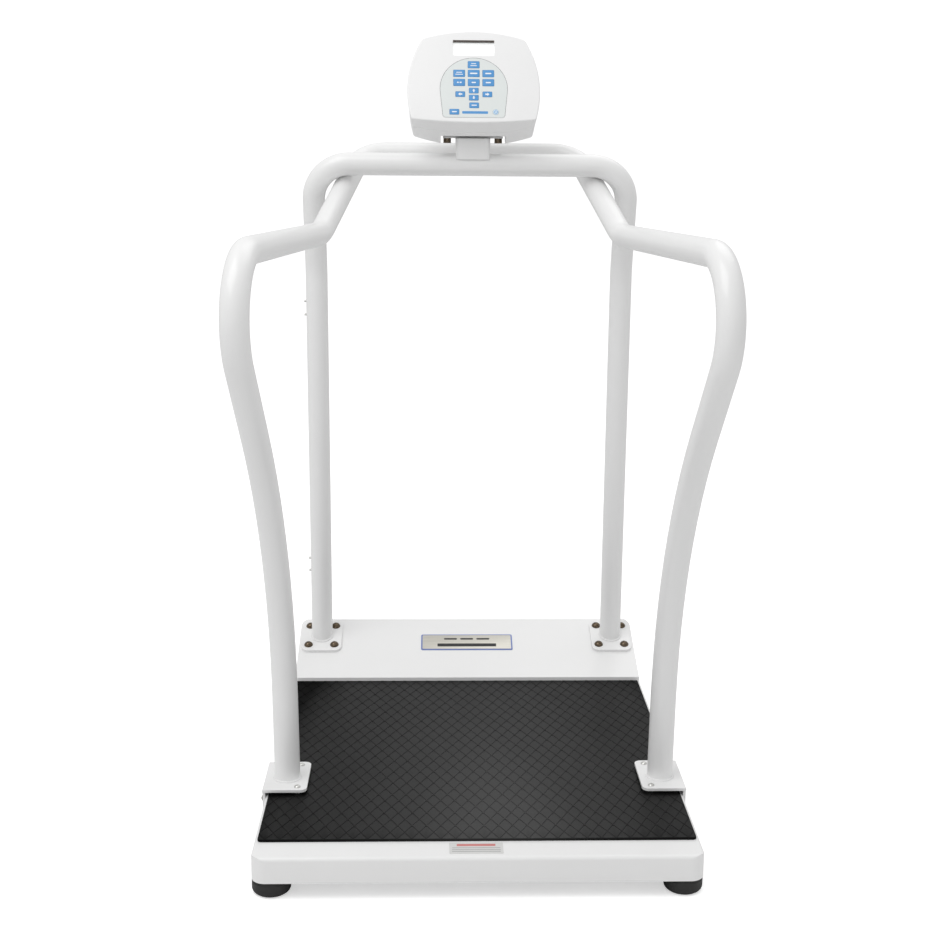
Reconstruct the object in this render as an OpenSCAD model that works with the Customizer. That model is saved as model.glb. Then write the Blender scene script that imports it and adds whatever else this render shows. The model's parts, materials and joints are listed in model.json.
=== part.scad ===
// High-capacity floor scale: low platform, wrap-around handrails and a
// display head on a rear column. Millimetres, +Z up, origin on the floor
// under the middle of the overall box, +Y towards the display.
// Inside the file, y is measured from the front edge of the tread mat.

/* [Platform] */
// Width of the deck pan
deck_w = 620; // [600:1:640]
// Front edge of the deck pan, measured from the mat's front edge
deck_front = -47; // [-60:1:-30]
// Rear edge of the deck pan and housing
deck_rear = 765; // [740:1:790]
// Height of the deck's top sheet above the floor
deck_top = 61.5; // [58:0.5:70]
// Height of the skirt's lower edge above the floor
skirt_low = 24; // [20:1:28]
// Sheet thickness of the deck pan
sheet = 2.5; // [2:0.5:4]
// Plan radius of the deck's corners
corner_r = 20; // [12:1:30]
// Radius along the deck's top edges
edge_r = 5; // [3:0.5:8]
// Width of the tread mat
mat_w = 610; // [580:1:614]
// Depth of the tread mat
mat_d = 604; // [560:1:606]
// Thickness of the tread mat
mat_t = 3.5; // [2:0.5:5]

/* [Rear housing] */
// Slope of the rear housing
slope = 19.9; // [12:0.1:24]
// Height of the housing's front lip above the deck sheet
lip_h = 9; // [5:0.5:14]
// Width of the name badge
badge_w = 168; // [120:1:200]
// Depth of the name badge
badge_d = 44; // [30:1:60]

/* [Tubes] */
// Outside diameter of every tube
tube_od = 38; // [34:0.5:40]
// Wall of every tube
tube_wall = 2; // [1.5:0.5:3]
// Half spacing of the display column's posts
post_x = 266.5; // [255:0.5:275]
// Depth position of the posts
post_y = 710.5; // [700:0.5:720]
// Height where the posts start to lean forward
lean_z = 787; // [760:1:800]
// Depth position of the column's top bar
bar_y = 661; // [650:1:670]
// Height of the column's top bar
bar_z = 967; // [955:1:975]
// Centreline radius of the column's corners
column_r = 62; // [55:1:70]
// Height of the handrails' rear crossbar
rear_bar_z = 984; // [975:1:990]
// Depth position of the handrails' rear crossbar
rear_bar_y = 755; // [745:1:760]

/* [Display head] */
// Lean of the head's face from the vertical
head_tilt = 26; // [15:1:35]
// Distance of the head to the right of the middle
head_x = 3; // [-5:0.5:5]
// Depth position of the face's lower edge
head_y = 600; // [590:1:610]
// Height of the face's lower edge
head_z = 1041; // [1030:1:1050]
// Height of the face along its own plane
face_h = 159; // [150:1:165]
// Depth of the head's front shell
front_d = 28; // [22:1:34]
// Depth of the whole head
head_d = 70; // [64:1:80]
// Wall of the head's shells
shell_t = 3; // [2:0.5:4]
// Height of a key's cap above the keypad
key_rise = 0.4; // [0.2:0.1:0.8]

/* [Feet] */
// Half spacing of the feet across the platform
foot_x = 284; // [278:1:286]
// Distance of each foot from the deck's front or rear edge
foot_in = 28; // [27:1:34]
// Diameter of a foot pad
pad_d = 54; // [48:1:56]
// Height of a foot pad
pad_h = 24; // [21:1:24]
// Diameter of a foot's stud
stud_d = 10; // [8:1:12]

/* [Hidden] */
$fn = 64;

// Centreline of the right handrail: foot, start of the sweep, knee, elbow, rear corner
plate_top = 72.5;
rail = [
    [280.5, 185.5, plate_top - 1], [284, 185.5, 432], [320.5, -124, 870],
    [247.5, 571, 856], [187.5, rear_bar_y, rear_bar_z], [0, rear_bar_y, rear_bar_z]
];
rail_r = [0, 730, 91, 65, 56, 0];

// Centreline of the right half of the display column
column = [
    [post_x, post_y, deck_top], [post_x, post_y, lean_z],
    [post_x, bar_y, bar_z], [0, bar_y, bar_z]
];
column_rr = [0, 150, column_r, 0];

function unit(v) = v / norm(v);
function half_angle(a, b, c) = acos(unit(a - b) * unit(c - b)) / 2;
function trim(a, b, c, r) = r / tan(half_angle(a, b, c));
function bend_centre(a, b, c, r) = b + unit(unit(a - b) + unit(c - b)) * r / sin(half_angle(a, b, c));
function trims(p, r) = [for (i = [0:len(p) - 1])
    (i == 0 || i == len(p) - 1) ? 0 : trim(p[i - 1], p[i], p[i + 1], r[i])];

// Direction, angle and turn of plane of the bend at point i of a route
function bend_dir(p, i) = let (d = unit(p[i] - p[i - 1]), v = p[i + 1] - p[i]) unit(v - d * (v * d));
function bend_angle(p, i) = 180 - 2 * half_angle(p[i - 1], p[i], p[i + 1]);
function bend_roll(p, i) = i == 1 ? 0 : let (
    d0 = unit(p[i - 1] - p[i - 2]), d = unit(p[i] - p[i - 1]), a = bend_angle(p, i - 1),
    x = bend_dir(p, i - 1) * cos(a) - d0 * sin(a), e = bend_dir(p, i))
    atan2(cross(x, e) * d, x * e);

// The front of the knee bend and the back of the crossbar set the overall depth
knee_c = bend_centre(rail[1], rail[2], rail[3], rail_r[2]);
knee_n = unit(cross(rail[1] - rail[2], rail[3] - rail[2]));
all_front = knee_c.y - rail_r[2] * sqrt(1 - knee_n.y * knee_n.y) - tube_od / 2;
all_rear = rear_bar_y + tube_od / 2;
y_mid = (all_front + all_rear) / 2;

tube_lap = 0.4;
tube_thin = 0.1;
deck_d = deck_rear - deck_front;
lip_z = deck_top + lip_h;
foot_ys = [deck_front + foot_in, deck_rear - foot_in];
cell = [32, 128, 24];
cell_z = 28;
cell_in = 96;
flange = [72, 86, 5];
flange_holes = [23.6, 27.1];
plate_t = 4;
plate_in = 249;
plate_out = deck_w / 2 + plate_t;
plate_d = 100;
plate_y = 191;
bracket_screw = [263, 38.5];
fold_low = 32;
keypad_c = 54.5;
overlay_t = 0.8;
key_big = [19, 12.4];
key_small = [15.5, 9.6];
window = [69, 28];
window_z = 128.5;
neck_w = 58;
neck_top = 1010.5;
notch_z = neck_top + 3.5;

// ---------- shared shapes ----------

module placed() { translate([0, -y_mid, 0]) children(); }

module rounded(w, d, r) {
    union() {
        square([w - 2 * r, d], center = true);
        square([w, d - 2 * r], center = true);
        for (x = [-1, 1], y = [-1, 1]) translate([x * (w / 2 - r), y * (d / 2 - r)]) circle(r);
    }
}

// Section of the tube, thinned by g on both faces
module ring2d(g = 0) {
    difference() {
        circle(d = tube_od - 2 * g);
        circle(d = tube_od - 2 * tube_wall + 2 * g);
    }
}

module tube_straight(a, b) {
    v = b - a;
    translate(a) rotate([0, acos(v.z / norm(v)), atan2(v.y, v.x)]) linear_extrude(norm(v)) ring2d();
}

// A tube bent in turn at points 1 to n of the route p, with bend radii r
module bent_tube(p, r, n) {
    e = bend_dir(p, 1);
    d = unit(p[1] - p[0]);
    y = cross(d, e);
    multmatrix([[e.x, y.x, d.x, p[0].x], [e.y, y.y, d.y, p[0].y], [e.z, y.z, d.z, p[0].z], [0, 0, 0, 1]])
        tube_step(p, r, n, 1, 0);
}

// One straight length, one turn of the bend's plane and one bend, then the next step.
// The straights are a hair thinner than the bends and run a little way into them.
// The angle s keeps the seams of all the lengths in one line along the tube.
module tube_step(p, r, n, i, s) {
    t = trims(p, r);
    l = norm(p[i] - p[i - 1]) - t[i - 1] - t[i];
    a = bend_angle(p, i);
    back = i == 1 ? 0 : tube_lap;
    roll = bend_roll(p, i);
    translate([0, 0, -back]) linear_extrude(l + back + tube_lap) rotate(s) ring2d(tube_thin);
    translate([0, 0, l]) rotate([0, 0, roll]) translate([r[i], 0, 0]) {
        rotate([90, 0, 180]) rotate_extrude(angle = a, $fn = 96)
            translate([r[i], 0]) rotate(180 - s + roll) ring2d();
        if (i < n) rotate([0, a, 0]) translate([-r[i], 0, 0]) tube_step(p, r, n, i + 1, s - roll);
    }
}

// Coordinates on the sloped top of the rear housing
module on_slope(y) {
    translate([0, y, lip_z + (y - mat_d) * tan(slope)]) rotate([slope, 0, 0]) children();
}

// Coordinates of the head: x across, z up the face, y from the face backwards
module head_space() {
    placed() translate([head_x, head_y, head_z]) rotate([-head_tilt, 0, 0]) children();
}

module screw(d_head, h_head, d, l) {
    union() {
        cylinder(d = d_head, h = h_head);
        translate([0, 0, -l]) cylinder(d = d, h = l);
    }
}

module dome_bolt(d_head, h_head, d, l) {
    r = (d_head * d_head / 4 + h_head * h_head) / (2 * h_head);
    union() {
        intersection() {
            translate([0, 0, h_head - r]) sphere(r, $fn = 96);
            cylinder(d = d_head + 1, h = h_head);
        }
        translate([0, 0, -l]) cylinder(d = d, h = l);
    }
}

// ---------- platform ----------

module deck_body(w, d, top, r, e) {
    intersection() {
        translate([0, (deck_front + deck_rear) / 2, 0]) linear_extrude(top) rounded(w, d, r);
        translate([0, (deck_front + deck_rear) / 2 + d / 2, 0]) rotate([90, 0, 0])
            linear_extrude(d) translate([0, top / 2 - 10]) rounded(w, top + 20, e);
        translate([-w / 2, (deck_front + deck_rear) / 2, 0]) rotate([90, 0, 90])
            linear_extrude(w) translate([0, top / 2 - 10]) rounded(d, top + 20, e);
    }
}

module deck_pan() {
    color("white") placed() difference() {
        deck_body(deck_w, deck_d, deck_top, corner_r, edge_r);
        translate([0, (deck_front + deck_rear) / 2, -1])
            linear_extrude(deck_top - sheet + 1)
                rounded(deck_w - 2 * sheet, deck_d - 2 * sheet, corner_r - sheet);
        translate([-deck_w, deck_front - 10, -1]) cube([2 * deck_w, deck_d + 20, skirt_low + 1]);
        for (x = [-1, 1], y = foot_ys)
            for (s = [-12, 12])
                translate([x * foot_x, y + (y < 300 ? 1 : -1) * cell_in + s, deck_top - 10])
                    cylinder(d = 8.4, h = 20);
        for (x = [-1, 1]) {
            for (y = [-1, 1])
                translate([x * bracket_screw.x, plate_y + y * bracket_screw.y, deck_top - 10])
                    cylinder(d = 5.56, h = 20);
            translate([x * deck_w / 2, 172, 46]) rotate([0, 90, 0]) cylinder(d = 6.56, h = 20, center = true);
        }
    }
}

module deck_ribs() {
    color("gainsboro") placed() for (x = [-160, 0, 160])
        translate([x, deck_front + sheet + 4, deck_top - sheet - 25]) rotate([-90, 0, 0])
            translate([0, -12.5, 0]) linear_extrude(deck_d - 2 * sheet - 8) difference() {
                square([40, 25], center = true);
                square([36, 21], center = true);
            }
}

module post_supports() {
    y0 = post_y - 46;
    y1 = deck_rear - 13;
    z0 = lip_z + (y0 - mat_d) * tan(slope) - sheet / cos(slope);
    z1 = lip_z + (y1 - mat_d) * tan(slope) - sheet / cos(slope);
    color("gainsboro") placed() for (s = [-1, 1]) difference() {
        translate([s * post_x - 36, 0, 0]) rotate([90, 0, 90]) linear_extrude(72)
            polygon([[y0, deck_top], [y1, deck_top], [y1, z1], [y0, z0]]);
        translate([s * post_x - 37, 0, 0]) rotate([90, 0, 90]) linear_extrude(74)
            polygon([[y0 + 5, deck_top + 5], [y1 - 5, deck_top + 5],
                [y1 - 5, z1 - 7 - 5 * tan(slope)], [y0 + 5, z0 - 7 + 5 * tan(slope)]]);
        on_slope(post_y) for (x = [-1, 1], y = [-1, 1])
            translate([s * post_x + x * flange_holes.x, y * flange_holes.y, -20]) cylinder(d = 8.16, h = 30);
    }
}

module load_cells() {
    color("silver") placed() for (x = [-1, 1], k = [0, 1]) {
        dir = k == 0 ? 1 : -1;
        translate([x * foot_x, foot_ys[k], cell_z]) difference() {
            translate([-cell.x / 2, dir > 0 ? -16 : 16 - cell.y, 0]) cube(cell);
            translate([0, 0, -1]) cylinder(d = stud_d + 0.16, h = cell.z + 2);
            for (s = [-12, 12]) translate([0, dir * cell_in + s, -1]) cylinder(d = 8.4, h = cell.z + 2);
            for (s = [-9, 9]) translate([0, dir * 48 + s, cell.z / 2]) rotate([0, 90, 0])
                cylinder(d = 15, h = cell.x + 2, center = true);
            translate([-cell.x, dir * 48 - 9, cell.z / 2 - 2]) cube([2 * cell.x, 18, 4]);
        }
    }
}

module load_cell_spacers() {
    color("silver") placed() for (x = [-1, 1], k = [0, 1])
        translate([x * foot_x, foot_ys[k] + (k == 0 ? 1 : -1) * cell_in, cell_z + cell.z])
            linear_extrude(deck_top - sheet - cell_z - cell.z) difference() {
                square([cell.x, 40], center = true);
                for (s = [-12, 12]) translate([0, s]) circle(d = 8.4);
            }
}

module load_cell_bolts() {
    color("dimgray") placed() for (x = [-1, 1], k = [0, 1], s = [-12, 12])
        translate([x * foot_x, foot_ys[k] + (k == 0 ? 1 : -1) * cell_in + s, cell_z]) rotate([180, 0, 0])
            screw(13, 3.5, 8, deck_top - sheet - cell_z + 2);
}

module foot_lock_nuts() {
    color("silver") placed() for (x = [-1, 1], y = foot_ys)
        translate([x * foot_x, y, cell_z + cell.z]) difference() {
            cylinder(d = 19.6, h = 5, $fn = 6);
            translate([0, 0, -1]) cylinder(d = stud_d + 0.16, h = 7);
        }
}

module foot_pad(x, y) {
    color("black") placed() translate([x * foot_x, y, 0]) difference() {
        rotate_extrude() polygon(concat(
            [[0, 0]], [for (a = [-90:15:0]) [pad_d / 2 - 8 + 8 * cos(a), 8 + 8 * sin(a)]],
            [[pad_d / 2, pad_h - 6], [pad_d / 2 - 3, pad_h - 1], [pad_d / 2 - 8, pad_h], [0, pad_h]]));
        translate([0, 0, 8]) cylinder(d = stud_d, h = pad_h);
    }
}

module foot_stud(x, y) {
    color("silver") placed() translate([x * foot_x, y, 8])
        cylinder(d = stud_d, h = deck_top - sheet - 8 - 1);
}

module foot_pad_fl() { foot_pad(-1, foot_ys[0]); }
module foot_pad_fr() { foot_pad(1, foot_ys[0]); }
module foot_pad_rl() { foot_pad(-1, foot_ys[1]); }
module foot_pad_rr() { foot_pad(1, foot_ys[1]); }
module foot_stud_fl() { foot_stud(-1, foot_ys[0]); }
module foot_stud_fr() { foot_stud(1, foot_ys[0]); }
module foot_stud_rl() { foot_stud(-1, foot_ys[1]); }
module foot_stud_rr() { foot_stud(1, foot_ys[1]); }

module tread_mat() {
    color("black") placed() translate([0, mat_d / 2, deck_top]) linear_extrude(mat_t) difference() {
        rounded(mat_w, mat_d, 6);
        for (x = [-1, 1], y = [-1, 1])
            translate([x * bracket_screw.x, plate_y - mat_d / 2 + y * bracket_screw.y]) circle(d = 14);
    }
}

// Side outline of the housing, grown outwards by g (negative shrinks it)
module housing_profile(g) {
    k = tan(slope);
    top = lip_z - mat_d * k + g / cos(slope);
    polygon([[mat_d - g, deck_top - 5], [deck_rear + g, deck_top - 5],
        [deck_rear + g, top + (deck_rear - 4 + g) * k - 4],
        [deck_rear - 4 + g, top + (deck_rear - 4 + g) * k], [mat_d - g, top + (mat_d - g) * k]]);
}

module housing_body(g) {
    w = deck_w - 4 + 2 * g;
    d = deck_rear - mat_d + 60 + g;
    top = 200;
    intersection() {
        translate([-w / 2, 0, 0]) rotate([90, 0, 90]) linear_extrude(w) housing_profile(g);
        translate([0, deck_rear + g - d / 2, 0]) linear_extrude(top) rounded(w, d, 22 + g);
    }
}

module rear_housing() {
    color("white") placed() difference() {
        housing_body(0);
        housing_body(-sheet);
        translate([-deck_w, mat_d - 50, deck_top - 20]) cube([2 * deck_w, 300, 20]);
        on_slope(post_y) for (s = [-1, 1], x = [-1, 1], y = [-1, 1])
            translate([s * post_x + x * flange_holes.x, y * flange_holes.y, -20]) cylinder(d = 9, h = 30);
    }
}

module junction_board() {
    color("green") placed() translate([60, 716, deck_top]) union() {
        for (x = [-1, 1], y = [-1, 1]) translate([x * 38, y * 18, 0]) cylinder(d = 6, h = 10);
        translate([0, 0, 10]) linear_extrude(1.6) square([90, 50], center = true);
        for (x = [-30, -10, 10, 30]) translate([x - 6, -22, 11.6]) cube([12, 9, 9]);
        translate([-10, 2, 11.6]) cube([20, 14, 3]);
    }
}

module badge_plate() {
    color("silver") placed() on_slope(696) linear_extrude(1.5) rounded(badge_w, badge_d, 3);
}

module caution_label() {
    color("lightgray") placed() translate([-3, -20.5, deck_top]) linear_extrude(0.4) rounded(74, 31, 1.5);
}

// ---------- tube mountings ----------

module rear_flange(s) {
    color("white") placed() on_slope(post_y) translate([s * post_x, 0, 0]) linear_extrude(flange.z)
        difference() {
            rounded(flange.x, flange.y, 12);
            for (x = [-1, 1], y = [-1, 1])
                translate([x * flange_holes.x, y * flange_holes.y]) circle(d = 9);
        }
}

module rear_flange_left() { rear_flange(-1); }
module rear_flange_right() { rear_flange(1); }

module rear_flange_bolts() {
    color([0.25, 0.22, 0.17]) placed() on_slope(post_y) for (s = [-1, 1], x = [-1, 1], y = [-1, 1])
        translate([s * post_x + x * flange_holes.x, y * flange_holes.y, flange.z])
            dome_bolt(16, 6, 8, 13);
}

module front_bracket(s) {
    color("white") placed() translate([0, plate_y, 0]) difference() {
        union() {
            intersection() {
                translate([s * (plate_in + plate_out) / 2, 0, plate_top - plate_t]) linear_extrude(plate_t)
                    translate([s * 10, 0]) rounded(plate_out - plate_in + 20, plate_d, 10);
                translate([s > 0 ? plate_in : -plate_out, -plate_d, 0])
                    cube([plate_out - plate_in, 2 * plate_d, 100]);
            }
            translate([s > 0 ? plate_out - plate_t : -plate_out, -plate_d / 2 + 4, fold_low])
                cube([plate_t, plate_d - 8, plate_top - fold_low]);
        }
        for (y = [-1, 1]) translate([s * bracket_screw.x, y * bracket_screw.y, plate_top - 10])
            cylinder(d = 5.56, h = 20);
        translate([s * plate_out, 172 - plate_y, 46]) rotate([0, 90, 0]) cylinder(d = 6.56, h = 20, center = true);
    }
}

module front_bracket_left() { front_bracket(-1); }
module front_bracket_right() { front_bracket(1); }

module bracket_spacers() {
    color("silver") placed() for (x = [-1, 1], y = [-1, 1])
        translate([x * bracket_screw.x, plate_y + y * bracket_screw.y, deck_top])
            linear_extrude(plate_top - plate_t - deck_top)
            difference() { circle(d = 12); circle(d = 5.56); }
}

module bracket_screws() {
    color("silver") placed() for (x = [-1, 1], y = [-1, 1])
        translate([x * bracket_screw.x, plate_y + y * bracket_screw.y, plate_top])
            dome_bolt(10, 3.2, 5.4, plate_top - deck_top + 6);
}

module bracket_side_bolts() {
    color([0.25, 0.22, 0.17]) placed() for (x = [-1, 1])
        translate([x * plate_out, 172, 46]) rotate([0, x * 90, 0]) dome_bolt(13, 5, 6.4, 14);
}

// ---------- tubes ----------

module column_half() {
    difference() {
        bent_tube(column, column_rr, 2);
        on_slope(post_y) translate([post_x - 50, -100, -60 + flange.z]) cube([100, 200, 60]);
    }
}

module column_right() { color("white") placed() column_half(); }
module column_left() { color("white") placed() mirror([1, 0, 0]) column_half(); }

module column_crossbar() {
    l = post_x - trims(column, column_rr)[2];
    color("white") placed() tube_straight([-l, bar_y, bar_z], [l, bar_y, bar_z]);
}

module column_studs() {
    color("silver") placed() for (z = [239.5, 262.5, 707, 730.5])
        translate([-post_x - tube_od / 2 + tube_thin, post_y, z]) rotate([0, -90, 0]) cylinder(d = 4.4, h = 3.4);
}

module handrail_half() {
    difference() {
        bent_tube(rail, rail_r, 4);
        translate([rail[0].x - 50, rail[0].y - 50, plate_top - 40]) cube([100, 100, 40]);
    }
}

module handrail_right() { color("white") placed() handrail_half(); }
module handrail_left() { color("white") placed() mirror([1, 0, 0]) handrail_half(); }

module handrail_crossbar() {
    l = rail[4].x - trims(rail, rail_r)[4];
    color("white") placed() tube_straight([-l, rear_bar_y, rear_bar_z], [l, rear_bar_y, rear_bar_z]);
}

// ---------- display head ----------

module neck_bracket() {
    color("white") placed() translate([head_x, bar_y, 0]) difference() {
        union() {
            translate([0, 0, bar_z + 9]) linear_extrude(neck_top - bar_z - 9) rounded(neck_w, 42, 8);
            translate([-50, -12, neck_top]) cube([100, 30, 3.5]);
        }
        translate([0, 0, bar_z]) linear_extrude(neck_top - bar_z - 2.5) rounded(neck_w - 5, 37, 5.5);
        translate([-neck_w, 0, bar_z]) rotate([0, 90, 0]) cylinder(d = tube_od, h = 2 * neck_w);
        for (x = [-1, 1]) translate([x * 43, 2, neck_top - 5]) cylinder(d = 6.56, h = 20);
    }
}

module head_bolts() {
    color([0.25, 0.22, 0.17]) placed() for (x = [-1, 1])
        translate([head_x + x * 43, bar_y + 2, neck_top]) rotate([180, 0, 0]) screw(13, 8, 6.4, 12);
}

// Outlines of the head: bulging sides, arched top and bowed lower edge. Towards the back
// the sides draw in and the lower edge bows further down.
// Side arcs' centre, then centre and radius of the lower arc: front, parting plane, back
front_shape = [80.5, 890, 896];
parting_shape = [81.9, 479.3, 490];
rear_shape = [83, 282, 299.5];
// Radius of the lower corners and facets of a full turn, for the front and the rear shell
front_low = [5.5, 28];
rear_low = [5, 40];

module face_outline(shape, g, low) {
    offset(r = low[0] + g, $fn = low[1]) offset(delta = -low[0]) intersection() {
        offset(r = 14, $fn = 40) offset(delta = -14) intersection() {
            translate([-shape[0], 52]) circle(190, $fn = 132);
            translate([shape[0], 52]) circle(190, $fn = 132);
            translate([0, face_h - 268]) circle(268, $fn = 132);
        }
        translate([0, shape[1]]) circle(shape[2], $fn = 270);
    }
}

module face_slab(shape, y0, y1, g, low) {
    translate([0, y1, 0]) rotate([90, 0, 0]) linear_extrude(y1 - y0) face_outline(shape, g, low);
}

module keypad_outline(g) {
    offset(r = g) hull() {
        translate([0, keypad_c]) circle(55.5, $fn = 96);
        for (x = [-1, 1]) translate([x * 46, 8]) circle(5);
    }
}

module notch() {
    rotate([head_tilt, 0, 0]) translate([-54, 0, notch_z - head_z - 80]) cube([108, 200, 80]);
}

// A post of diameter d from depth y0 back to depth y1
module post(x, z, d, y0, y1) {
    translate([x, y0, z]) rotate([-90, 0, 0]) cylinder(d = d, h = y1 - y0);
}

module head_front() {
    color("whitesmoke") head_space() difference() {
        hull() {
            face_slab(parting_shape, front_d - 0.5, front_d, 0, front_low);
            face_slab(front_shape, 3, 4, 0, front_low);
            face_slab(front_shape, 0, 0.5, -3, front_low);
        }
        difference() {
            hull() {
                face_slab(parting_shape, front_d, front_d + 1, -shell_t, front_low);
                face_slab(front_shape, 5.5, 6, -shell_t - 1, front_low);
            }
            for (x = [-1, 1]) {
                for (z = screw_z) post(x * screw_x, z, 10, 4, front_d);
                for (z = [25, 105]) post(x * 64, z, 7, 4, 14);
                translate([x * 40 - 1.5, 4, window_z - 16]) cube([3, 9, 28]);
            }
        }
        for (x = [-1, 1], z = screw_z) post(x * screw_x, z, 3.16, 14, front_d + 1);
        translate([0, 3.4, 0]) rotate([90, 0, 0]) linear_extrude(10) keypad_outline(0);
        translate([-window.x / 2, -1, window_z - window.y / 2]) cube([window.x, 20, window.y]);
    }
}

module keypad_overlay() {
    color("lightgray") head_space() difference() {
        translate([0, overlay_t, 0]) rotate([90, 0, 0]) linear_extrude(overlay_t) keypad_outline(-0.2);
        for (k = keys) translate([k[0], -1, k[1]])
            if (k[2].y > 0) translate([-k[2].x / 2 - 0.3, 0, -k[2].y / 2 - 0.3])
                cube([k[2].x + 0.6, 4, k[2].y + 0.6]);
            else rotate([-90, 0, 0]) cylinder(d = k[2].x + 0.6, h = 4);
    }
}

// Every key: across, up, size (a zero height means round)
keys = [
    [0, 97.8, key_big],
    [-24, 82, key_big], [0, 82, key_big], [24, 82, key_big],
    [-24, 65.6, key_big], [0, 65.6, key_big], [24, 65.6, key_big],
    [-22.3, 44.6, key_small], [22.3, 44.6, key_small],
    [0, 51.2, key_small], [0, 38.4, key_small], [0.5, 24.8, key_small],
    [-32, 13, key_small], [36, 13, [9.6, 0]]
];

module key(i) {
    k = keys[i];
    color("steelblue") head_space() translate([k[0], -key_rise, k[1]])
        if (k[2].y > 0) translate([-k[2].x / 2, 0, -k[2].y / 2]) cube([k[2].x, 2, k[2].y]);
        else rotate([-90, 0, 0]) cylinder(d = k[2].x, h = 2);
}

module key_top() { key(0); }
module key_a1() { key(1); }
module key_a2() { key(2); }
module key_a3() { key(3); }
module key_b1() { key(4); }
module key_b2() { key(5); }
module key_b3() { key(6); }
module key_left() { key(7); }
module key_right() { key(8); }
module key_up() { key(9); }
module key_down() { key(10); }
module key_enter() { key(11); }
module key_mode() { key(12); }
module key_power() { key(13); }

module lcd_window() {
    color("lightgray") head_space() translate([-window.x / 2 + 0.1, 2.5, window_z - window.y / 2 + 0.1])
        cube([window.x - 0.2, 2, window.y - 0.2]);
}

module lcd_panel() {
    color("darkseagreen") head_space() translate([-38, 5.5, window_z - 16]) cube([76, 5, 28]);
}

module main_board() {
    color("green") head_space() union() {
        translate([-70, 14, 20]) cube([140, 1.6, 90]);
        translate([-20, 15.6, 50]) cube([24, 3, 24]);
        translate([30, 15.6, 30]) cube([30, 8, 12]);
    }
}

bay = [104, 62, 20];
bay_z = 62;
screw_x = 66;
screw_z = [14, 132];
seat_y = front_d + 8;

module head_rear() {
    color("whitesmoke") head_space() difference() {
        hull() {
            face_slab(parting_shape, front_d, front_d + 0.5, 0, rear_low);
            face_slab(rear_shape, head_d - 12, head_d - 11, 0, rear_low);
            face_slab(rear_shape, head_d - 1, head_d, -9, rear_low);
        }
        difference() {
            hull() {
                face_slab(parting_shape, front_d - 1, front_d, -shell_t, rear_low);
                face_slab(rear_shape, head_d - 12, head_d - 11, -shell_t, rear_low);
                face_slab(rear_shape, head_d - shell_t - 1, head_d - shell_t, -10, rear_low);
            }
            translate([-bay.x / 2 - 3, head_d - bay.z - 3, bay_z - 3]) cube([bay.x + 6, 40, bay.y + 6]);
            translate([-58, front_d + 2, -20]) cube([116, 60, 22]);
            for (x = [-1, 1], z = screw_z) post(x * screw_x, z, 11, front_d, head_d);
        }
        translate([-bay.x / 2, head_d - bay.z, bay_z]) cube([bay.x, 40, bay.y]);
        notch();
        for (x = [-1, 1]) rotate([head_tilt, 0, 0])
            translate([x * 43, bar_y + 2 - head_y, notch_z - head_z - 1]) cylinder(d = 6.56, h = 11);
        for (x = [-1, 1], z = screw_z) {
            post(x * screw_x, z, 7, seat_y, head_d + 1);
            post(x * screw_x, z, 3.16, front_d - 1, seat_y + 1);
        }
    }
}

module head_screws() {
    color("silver") head_space() for (x = [-1, 1], z = screw_z)
        translate([x * screw_x, seat_y, z]) rotate([-90, 0, 0]) screw(6.2, 2.4, 3, 18);
}

module battery_cells() {
    color("goldenrod") head_space() for (x = [-1, 1], i = [0:2])
        translate([x * 25.8 - 25, head_d - bay.z + 7.3, bay_z + 11 + i * 20]) rotate([0, 90, 0])
            cylinder(d = 14.5, h = 50);
}

module battery_door() {
    color("whitesmoke") head_space() translate([-bay.x / 2 + 0.4, head_d - 3, bay_z + 0.4])
        cube([bay.x - 0.8, 3, bay.y - 0.8]);
}

deck_pan();
deck_ribs();
post_supports();
load_cells();
load_cell_spacers();
load_cell_bolts();
foot_lock_nuts();
foot_pad_fl();
foot_pad_fr();
foot_pad_rl();
foot_pad_rr();
foot_stud_fl();
foot_stud_fr();
foot_stud_rl();
foot_stud_rr();
tread_mat();
rear_housing();
junction_board();
badge_plate();
caution_label();
rear_flange_left();
rear_flange_right();
rear_flange_bolts();
front_bracket_left();
front_bracket_right();
bracket_spacers();
bracket_screws();
bracket_side_bolts();
column_left();
column_right();
column_crossbar();
column_studs();
handrail_left();
handrail_right();
handrail_crossbar();
neck_bracket();
head_bolts();
head_front();
head_rear();
head_screws();
keypad_overlay();
lcd_window();
lcd_panel();
main_board();
battery_cells();
battery_door();
key_top();
key_a1();
key_a2();
key_a3();
key_b1();
key_b2();
key_b3();
key_left();
key_right();
key_up();
key_down();
key_enter();
key_mode();
key_power();
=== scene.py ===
# Looks of the platform scale: materials, refined pieces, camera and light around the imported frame.
import json
import math

import bmesh
import bpy
import numpy as np
from mathutils import Matrix, Vector


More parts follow.
